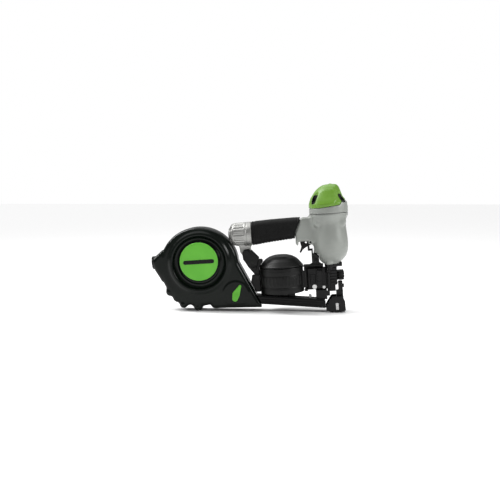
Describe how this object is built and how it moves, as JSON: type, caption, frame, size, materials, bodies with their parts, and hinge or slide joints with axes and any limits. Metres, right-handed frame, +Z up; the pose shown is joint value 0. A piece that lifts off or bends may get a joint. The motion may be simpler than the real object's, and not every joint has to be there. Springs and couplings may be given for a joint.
{
  "type": "pneumatic nail gun",
  "caption": "Pneumatic cap nailer: upright driver head, rear handle with trigger, coil nail canister under it, and a round rear canister feeding caps along a rail to the nose.",
  "frame": {"origin": "on the driver axis, at the flat face of the contact foot that meets the work", "axes": "+Z up along the driver axis, +X to the tool's front (nose side), +Y to its left; the canisters trail to -X"},
  "size_m": [0.4182, 0.092, 0.2655],
  "materials": {
    "body_paint": "satin metallic grey paint over cast aluminium",
    "cover_green": "moulded olive-green plastic, semi-gloss",
    "disc_green": "bright apple-green plastic, semi-gloss",
    "grip_rubber": "matt rubber with a fine moulded grain",
    "seal_rubber": "smooth seal rubber",
    "cast_bright": "cast aluminium, lightly polished",
    "canister_plastic": "black moulded plastic, semi-gloss",
    "magazine_black": "black anodised and painted cast shell",
    "nose_black": "black oxide steel, oiled",
    "bright_steel": "bright zinc-plated steel",
    "bore_aluminium": "hard-anodised, turned",
    "brass": "sintered and turned brass",
    "gasket_fibre": "compressed grey gasket fibre",
    "dark_plastic": "black moulded nylon"
  },
  "bodies": {
    "tool": {"body_housing": "body_paint", "head_gasket": "gasket_fibre", "head_cap": "body_paint", "top_cover": "cover_green", "head_bolts": "nose_black", "head_valve_spring": "bright_steel", "cylinder_sleeve": "bore_aluminium", "sleeve_seals": "seal_rubber", "bumper": "seal_rubber", "grip_sleeve": "grip_rubber", "end_cap": "cast_bright", "end_cap_gasket": "seal_rubber", "end_cap_bolts": "nose_black", "inlet_filter": "brass", "trigger_pin": "nose_black", "trigger_valve_body": "brass", "plunger_spring": "bright_steel", "nose_guide": "nose_black", "nose_bolts": "nose_black", "nose_guard": "nose_black", "contact_spring": "bright_steel", "feed_guide": "magazine_black", "feed_cylinder": "nose_black", "feed_spring": "bright_steel", "guide_door_pin": "nose_black", "magazine_base": "magazine_black", "magazine_roof": "magazine_black", "magazine_cover_pin": "nose_black", "magazine_arm": "magazine_black", "arm_bolt": "nose_black", "cap_rail": "dark_plastic", "rail_cover": "dark_plastic", "rail_bracket": "nose_black", "cap_feed_cylinder": "nose_black", "canister_base": "canister_plastic", "canister_hinge_pin": "nose_black"},
    "head_valve_body": {"head_valve": "bore_aluminium", "head_valve_seal": "seal_rubber"},
    "driver": {"piston": "bore_aluminium", "piston_ring": "seal_rubber", "driver_blade": "bright_steel"},
    "trigger_lever": {"trigger": "dark_plastic"},
    "trigger_arm_lever": {"trigger_arm": "nose_black"},
    "plunger": {"valve_plunger": "bore_aluminium"},
    "contact": {"contact_arm": "nose_black"},
    "dial": {"depth_dial": "dark_plastic"},
    "foot": {"contact_foot": "nose_black", "adjuster_stud": "bright_steel", "cap_retainer": "bright_steel"},
    "nail_feed": {"feed_piston": "bore_aluminium", "feed_pawl": "bright_steel"},
    "cap_feed": {"cap_feed_claw": "bright_steel"},
    "door": {"guide_door": "nose_black", "guide_screws": "bright_steel"},
    "latch": {"door_latch": "nose_black"},
    "nail_cover": {"magazine_cover": "magazine_black"},
    "platform": {"nail_platform": "bore_aluminium"},
    "cap_door": {"canister_door": "canister_plastic", "cover_disc": "disc_green"},
    "cap_latch": {"canister_latch": "disc_green"}
  },
  "joints": [
    {"name": "piston_stroke", "type": "slide", "parent": "tool", "child": "driver", "axis": [0, 0, -1], "range_m": [0, 0.0947]},
    {"name": "head_valve_lift", "type": "slide", "parent": "tool", "child": "head_valve_body", "axis": [0, 0, 1], "range_m": [0, 0.004], "stiffness_N_per_m": 1500, "springref_m": -0.004, "deforming": ["head_valve_spring"]},
    {"name": "trigger_pull", "type": "hinge", "parent": "tool", "child": "trigger_lever", "pos_m": [-0.041, 0, 0.1485], "axis": [0, 1, 0], "range_deg": [0, 12], "stiffness_Nm_per_rad": 0.4, "springref_deg": -17.19},
    {"name": "trigger_arm_swing", "type": "hinge", "parent": "trigger_lever", "child": "trigger_arm_lever", "pos_m": [-0.0575, 0, 0.1508], "axis": [0, 1, 0], "range_deg": [0, 8], "stiffness_Nm_per_rad": 0.02, "springref_deg": -17.19},
    {"name": "plunger_slide", "type": "slide", "parent": "tool", "child": "plunger", "axis": [0, 0, 1], "range_m": [0, 0.0016], "deforming": ["plunger_spring"]},
    {"name": "contact_arm_slide", "type": "slide", "parent": "tool", "child": "contact", "axis": [0, 0, 1], "range_m": [0, 0.008], "stiffness_N_per_m": 1500, "springref_m": -0.015, "deforming": ["contact_spring"]},
    {"name": "depth_dial_turn", "type": "hinge", "parent": "contact", "child": "dial", "pos_m": [0.0175, 0, 0.0755], "axis": [0, 0, 1], "range_deg": [-540, 540]},
    {"name": "foot_depth", "type": "slide", "parent": "contact", "child": "foot", "axis": [0, 0, 1], "range_m": [-0.00264, 0.00264]},
    {"name": "feed_stroke", "type": "slide", "parent": "tool", "child": "nail_feed", "axis": [-1, 0, 0], "range_m": [0, 0.008], "stiffness_N_per_m": 600, "springref_m": -0.005, "deforming": ["feed_spring"]},
    {"name": "cap_feed_stroke", "type": "slide", "parent": "tool", "child": "cap_feed", "axis": [-0.9925, 0, 0.1219], "range_m": [0, 0.0261]},
    {"name": "guide_door_open", "type": "hinge", "parent": "tool", "child": "door", "pos_m": [-0.0085, -0.0115, 0.068], "axis": [0, 0, 1], "range_deg": [0, 100]},
    {"name": "door_latch_lift", "type": "hinge", "parent": "door", "child": "latch", "pos_m": [-0.027, -0.011, 0.087], "axis": [-1, 0, 0], "range_deg": [0, 35], "stiffness_Nm_per_rad": 0.05, "springref_deg": -17.19},
    {"name": "magazine_cover_open", "type": "hinge", "parent": "tool", "child": "nail_cover", "pos_m": [-0.0565, -0.0125, 0.072], "axis": [0, 0, 1], "range_deg": [0, 80]},
    {"name": "platform_height", "type": "slide", "parent": "tool", "child": "platform", "axis": [0, 0, 1], "range_m": [0, 0.03]},
    {"name": "canister_door_open", "type": "hinge", "parent": "tool", "child": "cap_door", "pos_m": [-0.3705, -0.00815, 0.126], "axis": [0, 0, -1], "range_deg": [0, 90]},
    {"name": "canister_latch_turn", "type": "hinge", "parent": "cap_door", "child": "cap_latch", "pos_m": [-0.2055, -0.022, 0.042], "axis": [0, 1, 0], "range_deg": [0, 35], "stiffness_Nm_per_rad": 0.05, "springref_deg": -17.19}
  ],
  "couplings": [
    {"joint": "plunger_slide", "follows": "trigger_pull", "m_per_rad": 0.007632},
    {"joint": "depth_dial_turn", "follows": "foot_depth", "rad_per_m": 3570},
    {"joint": "cap_feed_stroke", "follows": "feed_stroke", "ratio": 3.25}
  ]
}
